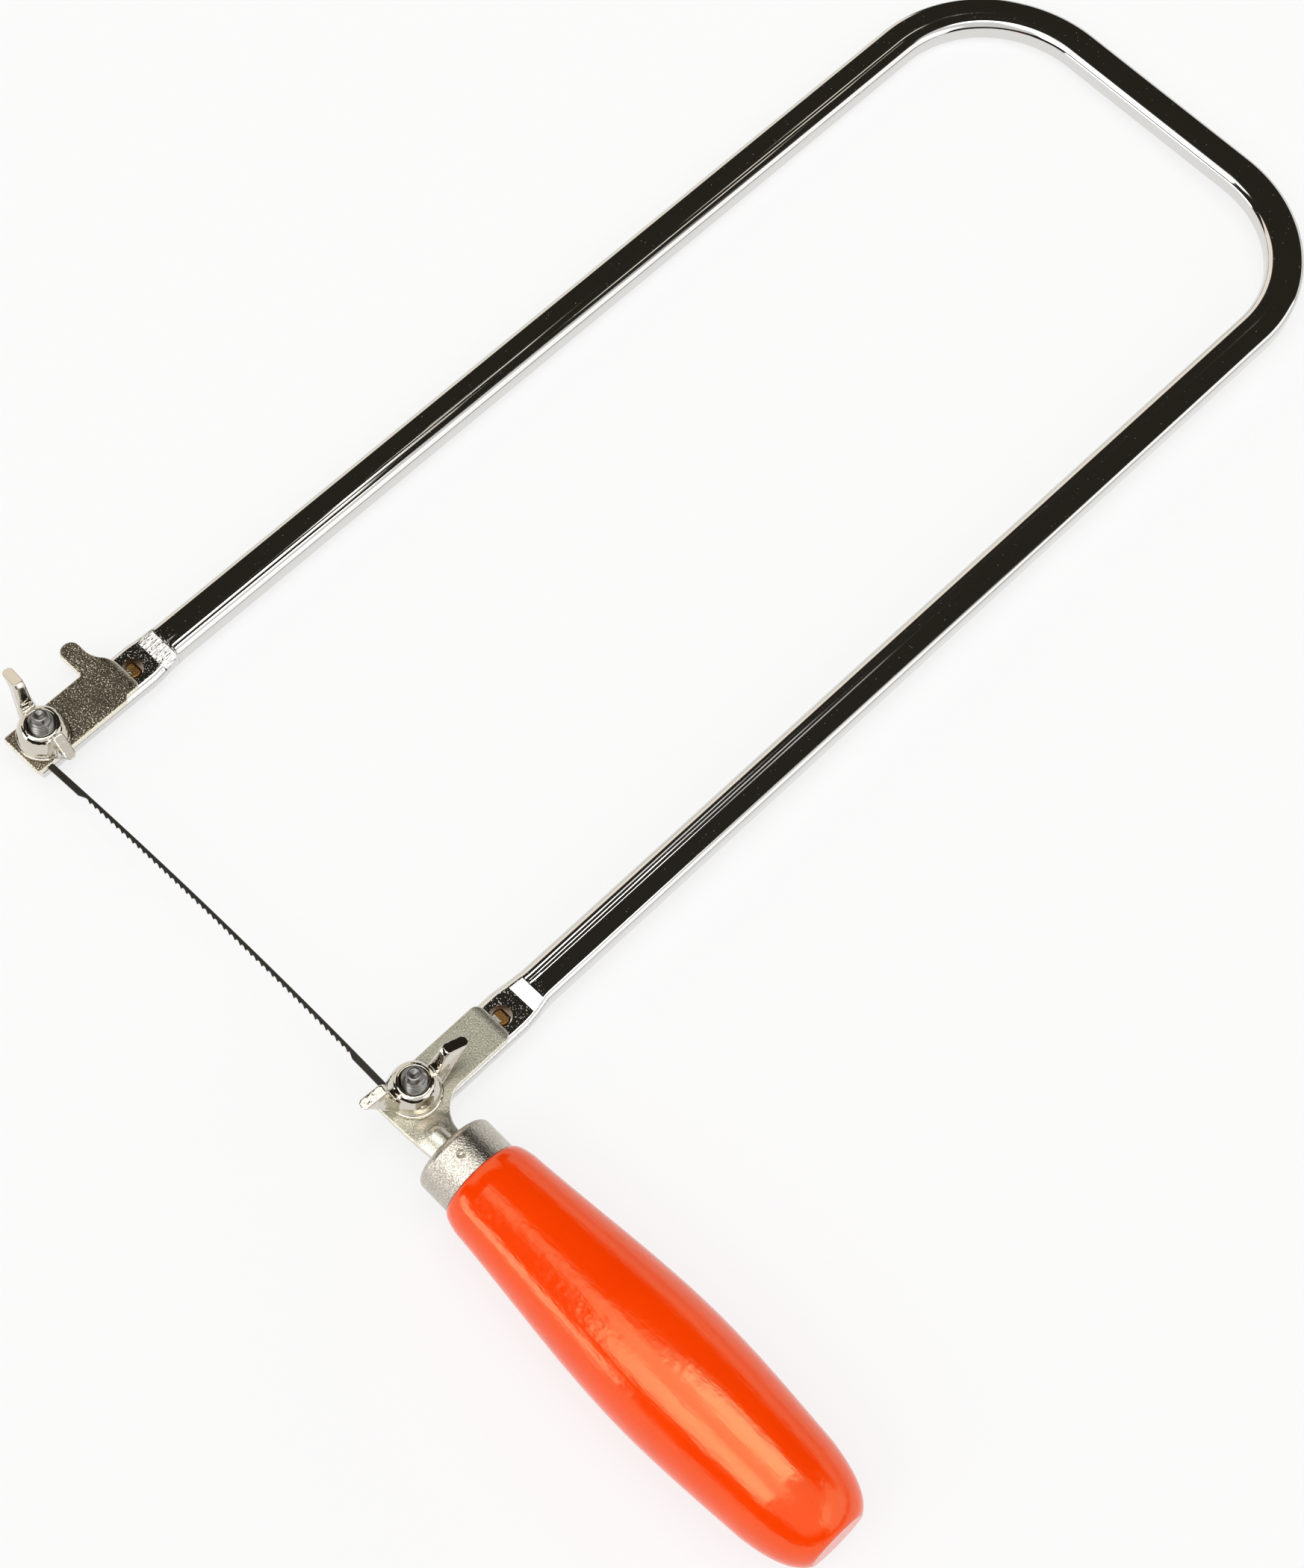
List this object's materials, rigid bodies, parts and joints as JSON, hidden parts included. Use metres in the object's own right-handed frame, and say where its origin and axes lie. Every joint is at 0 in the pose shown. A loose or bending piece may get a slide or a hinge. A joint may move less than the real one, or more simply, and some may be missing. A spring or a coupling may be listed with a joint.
{
  "type": "fret_saw",
  "caption": "Deep fret saw with a chromed U-shaped bow, two wing-nut blade clamps, a toothed blade and a turned orange lacquered wooden handle",
  "frame": {"origin": "middle of the blade: midway between the clamp bolts, on the blade's middle line and middle plane", "axes": "+X along the blade to the handle, +Y from the blade into the throat towards the end bar, +Z square to the bow on the side of the wing nuts"},
  "size_m": [0.278, 0.3619, 0.033],
  "materials": {
    "bow_chrome": "chrome plate on drawn steel bar",
    "plate_nickel": "satin nickel plate on stamped steel",
    "nut_nickel": "bright nickel plate",
    "bolt_steel": "plain rolled steel thread",
    "blade_steel": "hardened dark steel strip",
    "ferrule_nickel": "satin nickel plate on a drawn steel cap",
    "handle_lacquer": "turned beech under glossy orange lacquer"
  },
  "bodies": {
    "bow": {"bow_frame": "bow_chrome", "front_bolt": "bolt_steel", "rear_bolt": "bolt_steel"},
    "front_jaw": {"front_clamp_plate": "plate_nickel", "front_washer": "nut_nickel"},
    "front_nut": {"front_wing_nut": "nut_nickel"},
    "grip": {"rear_clamp_plate": "plate_nickel", "rear_washer": "nut_nickel", "ferrule": "ferrule_nickel", "handle": "handle_lacquer"},
    "rear_nut": {"rear_wing_nut": "nut_nickel"},
    "blade_strip": {"blade": "blade_steel"}
  },
  "joints": [
    {"name": "front_jaw_lift", "type": "slide", "parent": "bow", "child": "front_jaw", "axis": [0, 0, 1], "range_m": [0, 0.002]},
    {"name": "front_nut_turn", "type": "hinge", "parent": "front_jaw", "child": "front_nut", "pos_m": [-0.0625, 0.00345, 0.003], "axis": [0, 0, 1], "range_deg": [0, 720]},
    {"name": "grip_lift", "type": "slide", "parent": "bow", "child": "grip", "axis": [0, 0, 1], "range_m": [0, 0.002]},
    {"name": "rear_nut_turn", "type": "hinge", "parent": "grip", "child": "rear_nut", "pos_m": [0.0625, 0.00345, 0.003], "axis": [0, 0, 1], "range_deg": [0, 720]},
    {"name": "blade_draw", "type": "slide", "parent": "bow", "child": "blade_strip", "axis": [0, -1, 0], "range_m": [0, 0.012]}
  ],
  "couplings": [
    {"joint": "front_nut_turn", "follows": "front_jaw_lift", "rad_per_m": 6283.2},
    {"joint": "rear_nut_turn", "follows": "grip_lift", "rad_per_m": 6283.2}
  ]
}
